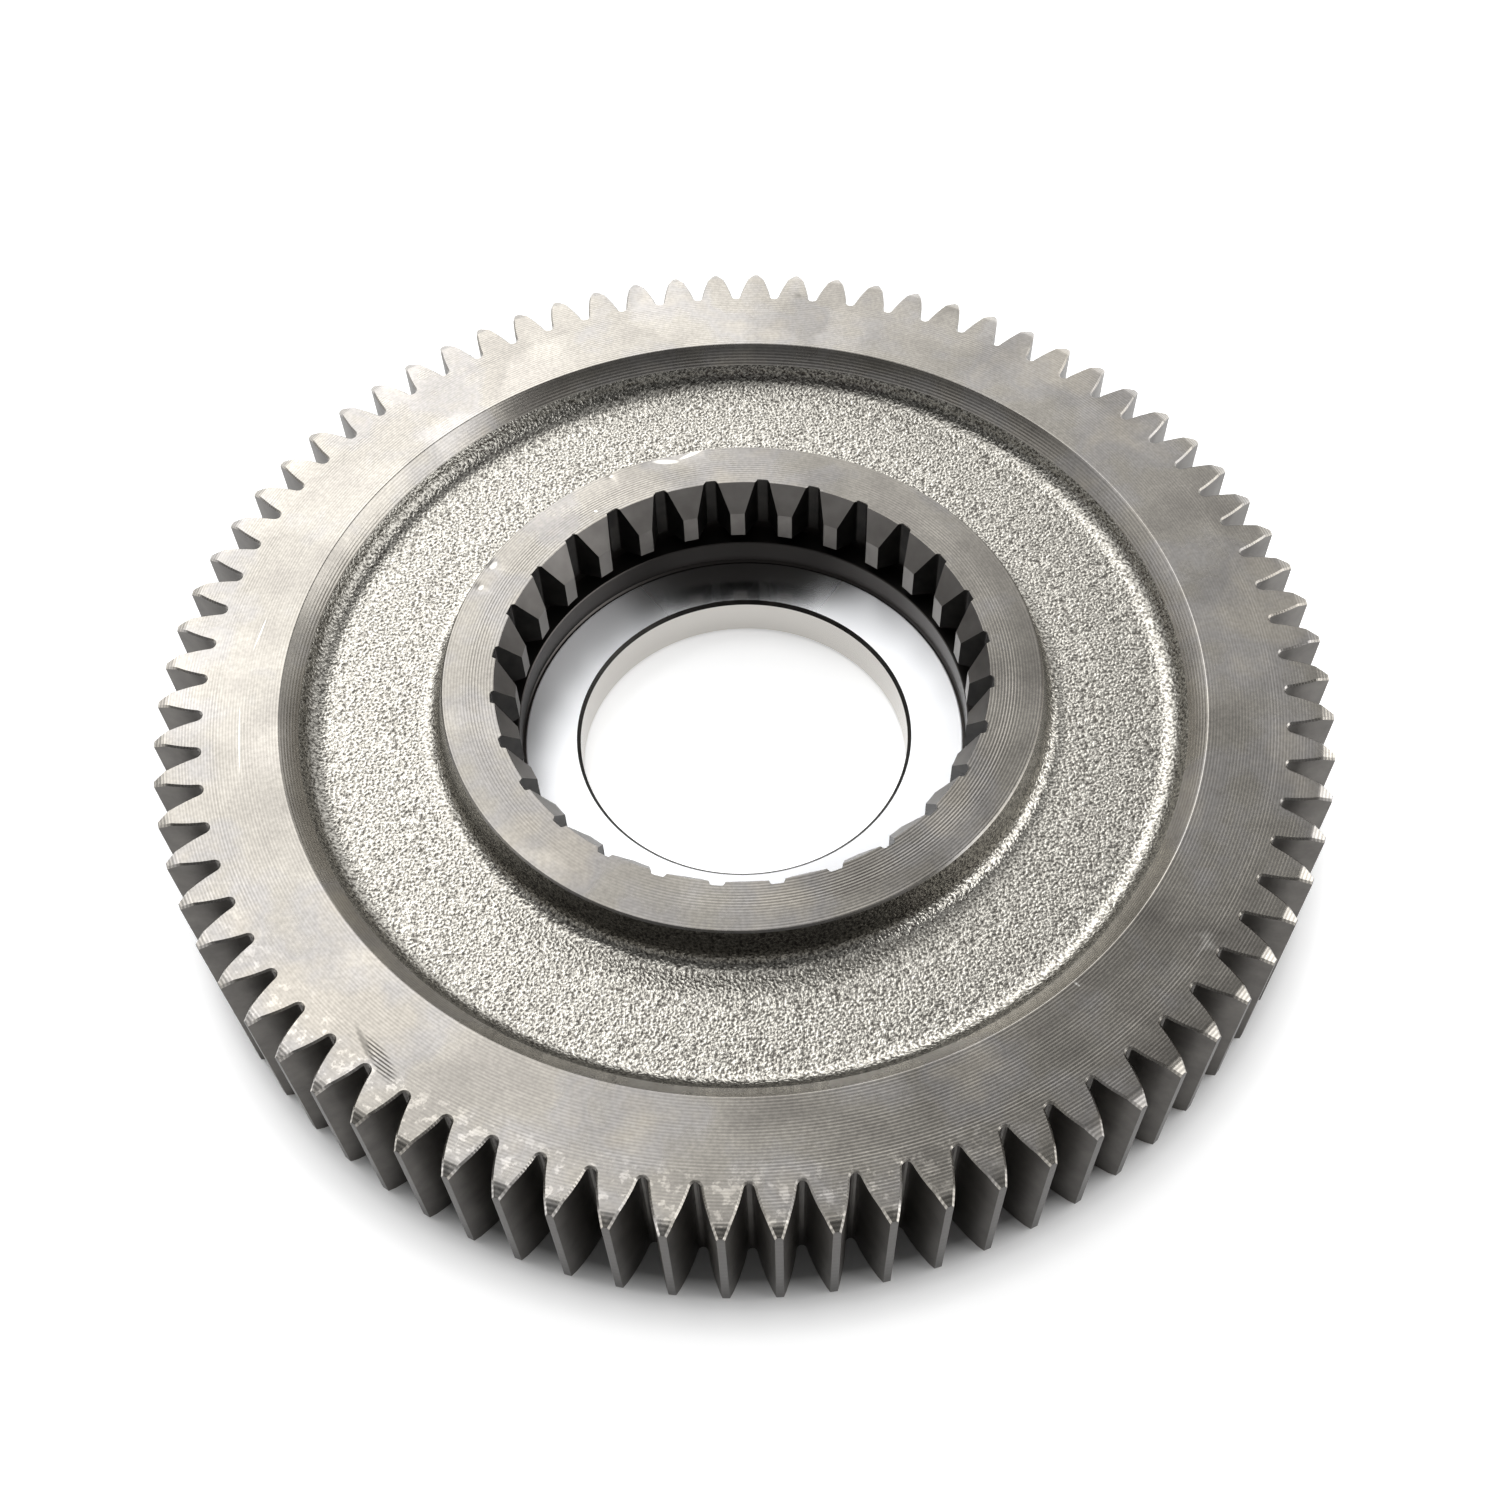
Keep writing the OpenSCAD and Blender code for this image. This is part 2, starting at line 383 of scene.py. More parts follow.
# Turned alloy steel: fine rings from the lathe tool, from 0.5 mm apart on the real faces and
# all drawn 0.65 mm apart so that they show, under smears of dried oil in brown and blue-grey.
# The tip chamfers were cut last and are brighter, with deeper rings. Ovals give each mark of
# use as its middle, half length, half width and turn; the pale ovals in the knocks of the hub
# face are bared metal with a painted highlight.
lathe_pitch = 0.65
chamfer_in_r = tip_r - tip_chamfer_w
chamfer_blur = 0.1
hub_face_end, rim_face_start = 66, 90
scuff_back_y, scuff_front_y = -40, -90
scuff_right_x, scuff_left_x = 60, 30
file_hatch = (-68.6, -89.6, 6.6, 1.9, -57)
file_smear = (-71.4, -87, 6, 0.8, -62)
root_stain = (14.7, 114, 2.3, 1.8, 80)
pale_smear = (89.3, -68.1, 5, 2.2, 10)
scratches = (
    (-105.5, -16, 10, 0.16, -82), (-105, 12, 5, 0.16, 79), (62.9, -77.1, 0.9, 0.3, -40))
# The crushed spots and the nicks: bared metal in the knocks of the hub face, painted pale partly as
# a highlight.
crush_marks_and_glints = ((-17, 60.2, 3.4, 0.9, -2), (-11, 62.3, 3.6, 0.6, 28))
nicks = (
    (-29.6, 56, 0.6, 0.5, 0), (-55.2, 30, 1.4, 0.8, 60), (-57.5, 23.7, 0.9, 0.6, 60),
    (-32.7, 45.3, 0.5, 0.4, 0))
turned_steel, tree, shader = finish_of("turned_alloy_steel")
at, radius, lines = lathe_lines(tree, lathe_pitch)
shift = add(tree, "ShaderNodeTexNoise", {"Vector": at, "Scale": 1 / (9 * MM), "Detail": 3.0})
shift = add(tree, "ShaderNodeVectorMath", {0: shift.outputs["Color"], 1: (0.5, 0.5, 0.5)},
            operation="SUBTRACT")
loose = add(tree, "ShaderNodeVectorMath", {0: shift.outputs[0], 1: (0.012,) * 3, 2: at},
            operation="MULTIPLY_ADD").outputs[0]
film = add(tree, "ShaderNodeTexNoise", {
    "Vector": at, "Scale": 1 / (24 * MM), "Detail": 4.0, "Roughness": 0.55}).outputs["Fac"]
tone = ramp(tree, film, (
    (0.34, "#8d8983"), (0.46, "#96928b"), (0.55, "#95928f"), (0.66, "#9f9a92")))
wiped = add(tree, "ShaderNodeTexVoronoi", {
    "Vector": loose, "Scale": 1 / (15 * MM), "Smoothness": 0.6}, feature="SMOOTH_F1")
wiped = add(tree, "ShaderNodeSeparateColor", {0: wiped.outputs["Color"]}).outputs[0]
speckle = add(tree, "ShaderNodeTexNoise", {
    "Vector": at, "Scale": 1 / (0.8 * MM), "Detail": 2.0}).outputs["Fac"]
fresh = rise(tree, radius, chamfer_in_r - chamfer_blur, chamfer_in_r)
worn = add(tree, "ShaderNodeTexNoise", {
    "Vector": at, "Scale": 1 / (30 * MM), "Detail": 2.0}).outputs["Fac"]
contrast = add(tree, "ShaderNodeMath", {
    0: scaled(tree, worn, 0.4, 0.62, 0.25, 0.05), 1: scaled(tree, fresh, 0.0, 1.0, 0.0, 0.38)})
ringed = add(tree, "ShaderNodeMath", {0: lines, 1: contrast.outputs[0], 2: 1.0},
             operation="MULTIPLY_ADD")
scuffs = add(tree, "ShaderNodeTexNoise", {
    "Vector": at, "Scale": 1 / (2 * MM), "Detail": 3.0, "Roughness": 0.6}).outputs["Fac"]
across, front = add(tree, "ShaderNodeSeparateXYZ", {0: at}).outputs[:2]
scuffs = product(tree, [scaled(tree, scuffs, 0.54, 0.61, 0.0, 1.0),
                        rise(tree, front, scuff_back_y, scuff_front_y),
                        rise(tree, across, scuff_right_x, scuff_left_x),
                        rise(tree, radius, root_r - root_ring, root_r)])
shade = product(tree, [scaled(tree, wiped, 0.1, 0.9, 0.86, 1.1),
                       scaled(tree, speckle, 0.3, 0.7, 0.89, 1.1),
                       scaled(tree, fresh, 0.0, 1.0, 1.0, 1.2),
                       scaled(tree, scuffs, 0.0, 1.0, 1.0, 1.5),
                       scaled(tree, rise(tree, radius, hub_face_end, rim_face_start),
                              0.0, 1.0, 0.83, 1.0),
                       ringed.outputs[0]])
metal = add(tree, "ShaderNodeVectorMath", {0: tone, "Scale": shade}, operation="SCALE")
filed = product(tree, [spot(tree, at, *file_hatch, 0.4),
                       scaled(tree, lines, -0.14, 0.06, 1.0, 0.0)])
smeared = strongest(tree, [spot(tree, at, *file_smear, 0.5),
                           spot(tree, loose, *root_stain, 0.8)])
scored = strongest(tree, [filed, product(tree, [smeared, 0.6])])
paled = product(tree, [spot(tree, loose, *pale_smear, 1.0), 0.5])
rubbed = strongest(tree, [paled] + [spot(tree, at, *mark, 0.6)
                                    for mark in scratches + crush_marks_and_glints + nicks])
colour = blend(tree, product(tree, [scored, 0.8]), metal.outputs[0], linear("#2b2926"))
# Pale marks: scratches and a smear of bare metal, and in the knocks bared metal with a painted
# highlight.
colour = blend(tree, rubbed, colour, linear("#d9d6d0"))
relief = add(tree, "ShaderNodeBump", {"Height": lines, "Strength": 0.5, "Distance": 0.00003})
tree.links.new(colour, shader.inputs["Base Color"])
tree.links.new(scaled(tree, film, 0.35, 0.65, 0.24, 0.3), shader.inputs["Roughness"])
tree.links.new(relief.outputs[0], shader.inputs["Normal"])
shader.inputs["Metallic"].default_value = 1
stretch_gloss(tree, shader, 0.25)

# Hobbed flanks: the cutter's plain grey surface, which takes its tone from what stands before it.
hobbed_steel, tree, shader = finish_of("hobbed_alloy_steel")
at = add(tree, "ShaderNodeTexCoord").outputs["Object"]
rubbed = add(tree, "ShaderNodeTexNoise", {
    "Vector": at, "Scale": 1 / (6 * MM), "Detail": 4.0, "Roughness": 0.6})
tone = ramp(tree, rubbed.outputs["Fac"], ((0.3, "#514e4b"), (0.7, "#65625e")))
tree.links.new(tone, shader.inputs["Base Color"])
shader.inputs["Metallic"].default_value = 1
shader.inputs["Roughness"].default_value = 0.42

# Tooth lands: the outside of the blank as it was turned, grey and a little dull.
land_steel, tree, shader = finish_of("turned_blank_steel")
blank_pitch = 0.6
*_, lines = lathe_lines(tree, blank_pitch)
tone = ramp(tree, lines, ((0.0, "#585654"), (1.0, "#646260")))
tree.links.new(tone, shader.inputs["Base Color"])
shader.inputs["Metallic"].default_value = 1
shader.inputs["Roughness"].default_value = 0.42

WELD = 2e-6
rim = grown("rim", copies, {
    "Sector": tooth, "Copies": tooth_count, "First angle": pitch / 2, "Weld": WELD,
    "Finish 0": turned_steel, "Finish 1": hobbed_steel, "Finish 2": land_steel})


# Forged web: the dished disc between the rim and the hub, left as the forging die and the shot
# blast made it. Geometry Nodes wrap its section round the axis and raise its uneven skin.
clutch_major_r = 53.9
hub_ring_w = 10.5
hub_r = clutch_major_r + hub_ring_w
face_break = 0.4
recess_depth = 8
hub_foot_depth = 9.4
rim_draft = math.radians(25)
hub_draft = math.radians(12)
rim_fillet = 5
hub_fillet = 4
grain_depth = 0.05
grain_size = 2.6
even_rows = 3.0
web_columns = rim_columns * tooth_count


def section(corners, step, arc_step):
    """Points along corners given as (radius, height, corner radius), at most a step apart."""
    points = [np.array(corners[0][:2], float)]

    def run_to(target):
        count = max(1, round(np.linalg.norm(target - points[-1]) / step))
        start = points[-1]
        points.extend(start + (target - start) * i / count for i in range(1, count + 1))

    for before, corner, after in zip(corners, corners[1:], corners[2:]):
        b = np.array(corner[:2], float)
        to_a = np.array(before[:2]) - b
        to_c = np.array(after[:2]) - b
        to_a /= np.linalg.norm(to_a)
        to_c /= np.linalg.norm(to_c)
        half = math.acos(to_a @ to_c) / 2
        if corner[2] == 0:
            run_to(b)
            continue
        centre = b + (to_a + to_c) / np.linalg.norm(to_a + to_c) * corner[2] / math.sin(half)
        run_to(b + to_a * corner[2] / math.tan(half))
        start = points[-1] - centre
        end = b + to_c * corner[2] / math.tan(half) - centre
        sweep = math.atan2(start[0] * end[1] - start[1] * end[0], start @ end)
        count = max(2, math.ceil(abs(sweep) * corner[2] / arc_step))
        for i in range(1, count + 1):
            a = sweep * i / count
            spin = np.array(((math.cos(a), -math.sin(a)), (math.sin(a), math.cos(a))))
            points.append(centre + spin @ start)
    run_to(np.array(corners[-1][:2], float))
    return points


def section_object(name, points):
    """The points of a section as an object, with the radius along X."""
    mesh = bpy.data.meshes.new(name)
    mesh.from_pydata([(r * MM, 0, z * MM) for r, z in points], [], [])
    return bpy.data.objects.new(name, mesh)


wrap, given, shape = form_tree("section round the axis", {
    "Section": "Object", "Columns": "Int", "First angle": "Float", "Weld": "Float",
    "Grain depth": "Float", "Grain size": "Float", "Even rows": "Float", "Finish": "Material"})
line = add(wrap, "GeometryNodeObjectInfo", {"Object": given["Section"]}).outputs["Geometry"]
rows = add(wrap, "GeometryNodeAttributeDomainSize", {0: line}).outputs["Point Count"]
around = add(wrap, "FunctionNodeIntegerMath", {0: given["Columns"], 1: 1}).outputs[0]
sheet = add(wrap, "GeometryNodeMeshGrid", {"Vertices X": around, "Vertices Y": rows})
index = add(wrap, "GeometryNodeInputIndex").outputs[0]
column = add(wrap, "FunctionNodeIntegerMath", {0: index, 1: rows}, operation="DIVIDE_FLOOR")
row = add(wrap, "FunctionNodeIntegerMath", {0: index, 1: rows}, operation="MODULO").outputs[0]
part = add(wrap, "ShaderNodeMath", {0: column.outputs[0], 1: given["Columns"]},
           operation="DIVIDE")
angle = add(wrap, "ShaderNodeMath", {0: part.outputs[0], 1: math.tau,
                                     2: given["First angle"]}, operation="MULTIPLY_ADD")
where = add(wrap, "GeometryNodeInputPosition").outputs[0]
point = add(wrap, "GeometryNodeSampleIndex", {"Geometry": line, "Value": where, "Index": row},
            data_type="FLOAT_VECTOR")
swung = add(wrap, "ShaderNodeVectorRotate", {"Vector": point.outputs[0],
                                             "Angle": angle.outputs[0]}, rotation_type="Z_AXIS")
made = add(wrap, "GeometryNodeSetPosition", {"Geometry": sheet.outputs["Mesh"],
                                             "Position": swung.outputs[0]})
last = add(wrap, "FunctionNodeIntegerMath", {0: rows, 1: 1}, operation="SUBTRACT").outputs[0]
back = add(wrap, "FunctionNodeIntegerMath", {0: last, 1: row}, operation="SUBTRACT").outputs[0]
near = add(wrap, "FunctionNodeIntegerMath", {0: row, 1: back}, operation="MINIMUM").outputs[0]
fade = add(wrap, "ShaderNodeMapRange", {"Value": near, 2: given["Even rows"]},
           interpolation_type="SMOOTHSTEP").outputs[0]
made = add(wrap, "GeometryNodeStoreNamedAttribute", {
    "Geometry": made.outputs[0], "Name": "forged", "Value": fade},
    data_type="FLOAT", domain="POINT")
made = add(wrap, "GeometryNodeMergeByDistance", {"Geometry": made.outputs[0],
                                                 "Distance": given["Weld"]})
fine = add(wrap, "ShaderNodeMath", {0: 1.0, 1: given["Grain size"]}, operation="DIVIDE")
grain = add(wrap, "ShaderNodeTexNoise", {
    "Vector": where, "Scale": fine.outputs[0], "Detail": 2.0, "Roughness": 0.55})
level = add(wrap, "ShaderNodeMapRange", {
    "Value": grain.outputs[0], 1: 0.25, 2: 0.75, 3: -1.0, 4: 1.0}).outputs[0]
forged = add(wrap, "GeometryNodeInputNamedAttribute", {"Name": "forged"}, data_type="FLOAT")
depth = add(wrap, "ShaderNodeMath", {0: level, 1: given["Grain depth"]}, operation="MULTIPLY")
depth = add(wrap, "ShaderNodeMath", {0: depth.outputs[0], 1: forged.outputs["Attribute"]},
            operation="MULTIPLY")
normal = add(wrap, "GeometryNodeInputNormal").outputs[0]
offset = add(wrap, "ShaderNodeVectorMath", {0: normal, "Scale": depth.outputs[0]},
             operation="SCALE")
made = add(wrap, "GeometryNodeSetPosition", {"Geometry": made.outputs[0],
                                             "Offset": offset.outputs[0]})
made = add(wrap, "GeometryNodeSetMaterial", {"Geometry": made.outputs[0],
                                             "Material": given["Finish"]})
wrap.links.new(made.outputs[0], shape)

# Shot-blasted forged steel: a bright pebbled skin, its grains just under 1 mm across, with dull
# grey hollows between them, the tops partly painted glints and the hollows partly painted shade,
# and painted shade darkening it on the steep walls at the rim and the hub.
rim_wall_shaded_r = (91.5, 93.5)
hub_wall_shaded_r = (66.8, 65.4)
blasted_steel, tree, shader = finish_of("shot_blasted_forged_steel")
at = add(tree, "ShaderNodeTexCoord").outputs["Object"]
pebbles = add(tree, "ShaderNodeTexNoise", {
    "Vector": at, "Scale": 1 / (0.6 * MM), "Detail": 1.0, "Roughness": 0.5}).outputs["Fac"]
# Pebble tones follow the bump height: grain, with painted glints on the tops and painted shade in
# the hollows.
tone = ramp(tree, pebbles, ((0.32, "#585550"), (0.5, "#a09d96"), (0.68, "#c6c3bb")))
flat = add(tree, "ShaderNodeVectorMath", {0: at, 1: (1, 1, 0)}, operation="MULTIPLY")
radius = add(tree, "ShaderNodeVectorMath", {0: flat.outputs[0]}, operation="LENGTH")
# Painted shade: the steep walls of the rim and the hub are drawn darker.
shade = product(tree, [scaled(tree, rise(tree, radius.outputs["Value"], *wall), 0.0, 1.0, 1.0, shade_level)
                       for wall, shade_level in ((rim_wall_shaded_r, 0.62), (hub_wall_shaded_r, 0.55))])
metal = add(tree, "ShaderNodeVectorMath", {0: tone, "Scale": shade}, operation="SCALE")
relief = add(tree, "ShaderNodeBump", {"Height": pebbles, "Strength": 1.0, "Distance": 0.00018})
tree.links.new(metal.outputs[0], shader.inputs["Base Color"])
tree.links.new(relief.outputs[0], shader.inputs["Normal"])
shader.inputs["Metallic"].default_value = 1
shader.inputs["Roughness"].default_value = 0.26


def web_corners(rim_depth, hub_depth, height):
    """Corners of a recess from the turned cone of the rim to the edge of the hub."""
    cone_r = rim_in_r - rim_cone_w
    rim_foot = cone_r - (rim_depth - rim_cone_h) * math.tan(rim_draft)
    hub_foot = hub_r + hub_depth * math.tan(hub_draft)
    return [(cone_r, height(rim_cone_h), 0),
            (rim_foot, height(rim_depth), rim_fillet),
            (hub_foot, height(hub_depth), hub_fillet),
            (hub_r, height(face_break), 0)]


webs = []
for name, depths, height, steps in (
        ("upper_web", (recess_depth, hub_foot_depth), lambda depth: face_w - depth, (1.2, 1.1)),
        ("lower_web", (recess_depth, recess_depth), lambda depth: depth, (7, 1.5))):
    outline = section_object(name, section(web_corners(*depths, height), *steps))
    webs.append(grown(name, wrap, {
        "Section": outline, "Columns": web_columns, "First angle": 0.0, "Weld": WELD,
        "Grain depth": grain_depth * MM, "Grain size": grain_size * MM, "Even rows": even_rows,
        "Finish": blasted_steel}))


# Hub with clutch teeth: the boss round the bore, its face turned flush with the rim, and 28
# internal teeth shaped into it. Each tooth starts with a turned lead-in cone. One pitch of the
# hub is modelled, and Geometry Nodes set the copies round the axis.
clutch_count = 28
clutch_pitch = math.tau / clutch_count
clutch_phase = math.radians(7)
clutch_depth = 4.7
clutch_length = 13.9
clutch_crest_r = clutch_major_r - clutch_depth
clutch_floor_w = 2.5
clutch_flank_angle = math.radians(29)
clutch_corner_r = 0.5
clutch_end_z = face_w - clutch_length
lead_inset = 0.8
lead_r = clutch_major_r - lead_inset
lead_angle = math.radians(31)
runout_depth = 0.7
runout_r = clutch_major_r + runout_depth
lower_ring_r = 55
outer_rings = (1.1, 2, 3.2)
inner_ring = 5.5
hub_columns = web_columns // clutch_count
inner_columns = hub_columns // 2
corner_steps = 3
space_steps = corner_steps + 2
clutch_columns = inner_columns - 2 * space_steps
lead_steps = 4
edge_break = 0.16


def lead_z(r):
    """Height of the lead-in cone, and of the face outside it."""
    return face_w - max(0, lead_r - r) / math.tan(lead_angle)


def clutch_side():
    """Points from the middle of a clutch space, round its corner and down the flank."""
    half = (math.pi / 2 + clutch_flank_angle) / 2
    reach = clutch_corner_r / math.tan(half)
    corner = np.array((clutch_major_r, -clutch_floor_w / 2))
    centre = corner + (-clutch_corner_r, reach)
    points = [np.array((clutch_major_r, 0.0))]
    for i in range(corner_steps + 1):
        at = -(math.pi / 2 - clutch_flank_angle) * i / corner_steps
        points.append(centre + clutch_corner_r * np.array((math.cos(at), math.sin(at))))
    for i in range(lead_steps + 1):
        r = lead_r + (clutch_crest_r - lead_r) * i / lead_steps
        y = -clutch_floor_w / 2 - (clutch_major_r - r) * math.tan(clutch_flank_angle)
        points.append(np.array((math.sqrt(r * r - y * y), y)))
    half_pitch = clutch_pitch / 2
    turn = np.array(((math.cos(half_pitch), -math.sin(half_pitch)),
                     (math.sin(half_pitch), math.cos(half_pitch))))
    return np.array([turn @ p for p in points])


def clutch_rows(bm, side, height):
    """Rows over one end of a clutch tooth, and the row along the mouth of its spaces."""
    mirrored = side * (1, -1)
    rows = []
    for low, high in list(zip(mirrored, side))[space_steps:]:
        r = np.linalg.norm(high)
        reach = math.atan2(high[1], high[0])
        angles = np.linspace(-reach, reach, clutch_columns + 1)
        rows.append(row_of(bm, [(*polar(r, a), height(r)) for a in angles]))
    left = row_of(bm, [(*p, height(np.linalg.norm(p))) for p in mirrored[:space_steps]])
    right = row_of(bm, [(*p, height(np.linalg.norm(p))) for p in side[:space_steps]][::-1])
    return rows, left + rows[0] + right, left, right


def halve(bm, fine, coarse, finish):
    """Triangles between a row and one with half as many steps."""
    mark = bm.faces.layers.int["finish"]
    for i in range(len(coarse) - 1):
        a, b, c = fine[2 * i:2 * i + 3]
        d, e = coarse[i:i + 2]
        for corners in ((a, b, d), (b, e, d), (b, c, e)):
            bm.faces.new(corners)[mark] = finish


FACE, LEAD, FLANK = 0, 1, 2
side = clutch_side()
web_step = math.tau / web_columns
hub_turn = clutch_phase + clutch_pitch / 2
to_web = round(hub_turn / web_step) * web_step - hub_turn
bm = bmesh.new()
bm.faces.layers.int.new("finish")
rows, mouth, left, right = clutch_rows(bm, side, lambda r: lead_z(r) - edge_break * (r > lead_r))
outer = [arc_row(bm, r, z, clutch_pitch, hub_columns, to_web) for r, z in (
    (hub_r, face_w - face_break), (hub_r - face_break, face_w),
    *((hub_r - width, face_w) for width in outer_rings))]
inner = [arc_row(bm, hub_r - inner_ring, face_w, clutch_pitch, inner_columns)]
rim_of_mouth = [(*(np.array(v.co[:2]) / MM * (1 + edge_break / clutch_major_r)), face_w)
                for v in mouth]
inner.append(row_of(bm, rim_of_mouth))
inner.append(mouth)
skin(bm, outer, FACE)
halve(bm, outer[-1], inner[0], FACE)
skin(bm, inner, FACE)
skin(bm, rows, LEAD)
end_rows, end_mouth, end_left, end_right = clutch_rows(bm, side, lambda r: clutch_end_z)
skin(bm, end_rows, FLANK)
skin(bm, [end_mouth, arc_row(bm, runout_r, clutch_end_z, clutch_pitch, inner_columns)], FLANK)
skin(bm, [rows[-1], end_rows[-1]], LEAD)
skin(bm, [left + [r[0] for r in rows], end_left + [r[0] for r in end_rows]], FLANK)
skin(bm, [[r[-1] for r in rows][::-1] + right, [r[-1] for r in end_rows][::-1] + end_right],
     FLANK)
below = [arc_row(bm, r, z, clutch_pitch, hub_columns, to_web)
         for r, z in ((hub_r, face_break), (hub_r - face_break, 0))]
skin(bm, below, FACE)
halve(bm, below[-1], arc_row(bm, lower_ring_r, 0, clutch_pitch, inner_columns), FACE)
hub_sector = bpy.data.objects.new("one_clutch_tooth", bpy.data.meshes.new("one_clutch_tooth"))
bm.to_mesh(hub_sector.data)
bm.free()

# Shaped clutch teeth: dark oiled steel, with the turned lead-in cones and the crests lighter than
# the flanks, which are drawn near black: dark oiled steel and painted shade deep in the hub.
lead_steel, tree, shader = finish_of("turned_clutch_steel")
at = add(tree, "ShaderNodeTexCoord").outputs["Object"]
film = add(tree, "ShaderNodeTexNoise", {"Vector": at, "Scale": 1 / (5 * MM), "Detail": 3.0})
tone = ramp(tree, film.outputs["Fac"], ((0.3, "#6d6a67"), (0.7, "#7b7875")))
tree.links.new(tone, shader.inputs["Base Color"])
shader.inputs["Metallic"].default_value = 1
shader.inputs["Roughness"].default_value = 0.4

shaped_shaded_steel, tree, shader = finish_of("shaped_clutch_steel_painted_shade")
at = add(tree, "ShaderNodeTexCoord").outputs["Object"]
film = add(tree, "ShaderNodeTexNoise", {"Vector": at, "Scale": 1 / (4 * MM), "Detail": 3.0})
# Near-black tones: dark oiled steel and painted shade, on the clutch flanks and the bore edge.
tone = ramp(tree, film.outputs["Fac"], ((0.3, "#2a2928"), (0.7, "#3a3836")))
tree.links.new(tone, shader.inputs["Base Color"])
shader.inputs["Metallic"].default_value = 1
shader.inputs["Roughness"].default_value = 0.45

hub = grown("hub", copies, {
    "Sector": hub_sector, "Copies": clutch_count, "First angle": hub_turn, "Weld": WELD,
    "Finish 0": turned_steel, "Finish 1": lead_steel, "Finish 2": shaped_shaded_steel})


# Counterbore and bore: the runout groove under the clutch teeth, the counterbore with its
# grinding relief, the lapped thrust face at its foot, and the ground bore below it.
runout_w = 3.3
counterbore_depth = 6.7
crest_clearance = 0.4
ledge_break = 0.2
ledge_z = clutch_end_z - runout_w
thrust_z = ledge_z - counterbore_depth
counterbore_r = clutch_crest_r + crest_clearance
relief_w = 1.0
thrust_r = counterbore_r - relief_w / 2
thrust_round = 0.4
bore_r = 36.8
bore_break = 0.8
bore_chamfer = 1.1
ring_step = 20
ring_arc_step = 0.2


def eased(tree, value, low, high, new_low, new_high):
    """A value moved from one range to another with soft ends."""
    return add(tree, "ShaderNodeMapRange", {
        "Value": value, 1: low, 2: high, 3: new_low, 4: new_high},
        interpolation_type="SMOOTHSTEP").outputs[0]


# Lapped steel: a mirror at the back of the ring, where it shows the dark clutch teeth, and worn
# round the rest to a haze of fine arcs, which spreads the light across them.
lapped_steel, tree, shader = finish_of("lapped_steel")
at = add(tree, "ShaderNodeTexCoord").outputs["Object"]
outward = add(tree, "ShaderNodeVectorMath", {0: at}, operation="NORMALIZE").outputs[0]
behind = add(tree, "ShaderNodeSeparateXYZ", {0: outward}).outputs["Y"]
haze = eased(tree, behind, 1.0, 0.72, 0.09, 0.42)
tree.links.new(haze, shader.inputs["Roughness"])
stretch_gloss(tree, shader, 0.9)
shader.inputs["Base Color"].default_value = linear("#fbfcfe")
shader.inputs["Metallic"].default_value = 1

# Ground steel: the smooth satin wall of the bore.
ground_steel, tree, shader = finish_of("ground_steel")
shader.inputs["Base Color"].default_value = linear("#c8c5c0")
shader.inputs["Metallic"].default_value = 1
shader.inputs["Roughness"].default_value = 0.24

# Turned counterbore: a dark satin wall that was bored before the teeth were shaped.
bored_steel, tree, shader = finish_of("bored_counterbore_steel")
shader.inputs["Base Color"].default_value = linear("#4a4745")
shader.inputs["Metallic"].default_value = 1
shader.inputs["Roughness"].default_value = 0.35

rings = []
for name, corners, finish in (
        ("counterbore", [(runout_r, clutch_end_z, 0), (runout_r, ledge_z, 0),
                         (counterbore_r + ledge_break, ledge_z, 0),
                         (counterbore_r, ledge_z - ledge_break, 0),
                         (counterbore_r, thrust_z + relief_w / 2, 0),
                         (counterbore_r + relief_w / 2, thrust_z, 0),
                         (counterbore_r, thrust_z - relief_w / 2, 0),
                         (thrust_r, thrust_z - relief_w / 2, 0)], bored_steel),
        ("thrust_face", [(thrust_r, thrust_z - relief_w / 2, 0),
                         (thrust_r, thrust_z, thrust_round),
                         (bore_r + bore_break, thrust_z, 0)], lapped_steel),
        ("bore_edge", [(bore_r + bore_break, thrust_z, 0),
                       (bore_r, thrust_z - bore_break, 0)], shaped_shaded_steel),
        ("bore", [(bore_r, thrust_z - bore_break, 0), (bore_r, bore_chamfer, 0)], ground_steel),
        ("lower_ring", [(bore_r, bore_chamfer, 0), (bore_r + bore_chamfer, 0, 0),
                        (lower_ring_r, 0, 0)], turned_steel)):
    outline = section_object(name, section(corners, ring_step, ring_arc_step))
    rings.append(grown(name, wrap, {
        "Section": outline, "Columns": inner_columns * clutch_count,
        "First angle": hub_turn + clutch_pitch / 2, "Weld": WELD, "Grain depth": 0.0,
        "Grain size": MM, "Even rows": 1.0, "Finish": finish}))


# The gear: one forging of alloy steel, so its zones are welded into one closed solid. The knocks
# that handling left in the edges of the hub face are pressed into it, and its sharp edges stay
# sharp in the shading.
crush_angle = 104
crush_half_angle = 7
crush_depth = 0.45
crush_w = 3.6
hub_slack = 0.2
nick_reach = (1.3, 1.8, 1.4, 1.2)
nick_depth = (0.25, 0.35, 0.3, 0.3)
knock_below = 1
sharp_angle = math.radians(24)


def knock_depth(x, y):
    """Depth of the knocks in the edges of the hub face."""
    r = math.hypot(x, y)
    off_middle = abs(math.degrees(math.atan2(y, x)) - crush_angle) / crush_half_angle
    crushed = crush_depth * (1 - off_middle) * min(1, max(0, r - hub_r + crush_w) / crush_w)
    nicked = [depth * (1 - math.hypot(x - nick[0], y - nick[1]) / reach)
              for nick, reach, depth in zip(nicks, nick_reach, nick_depth)]
    return max(0, crushed if r < hub_r + hub_slack else 0, *nicked)


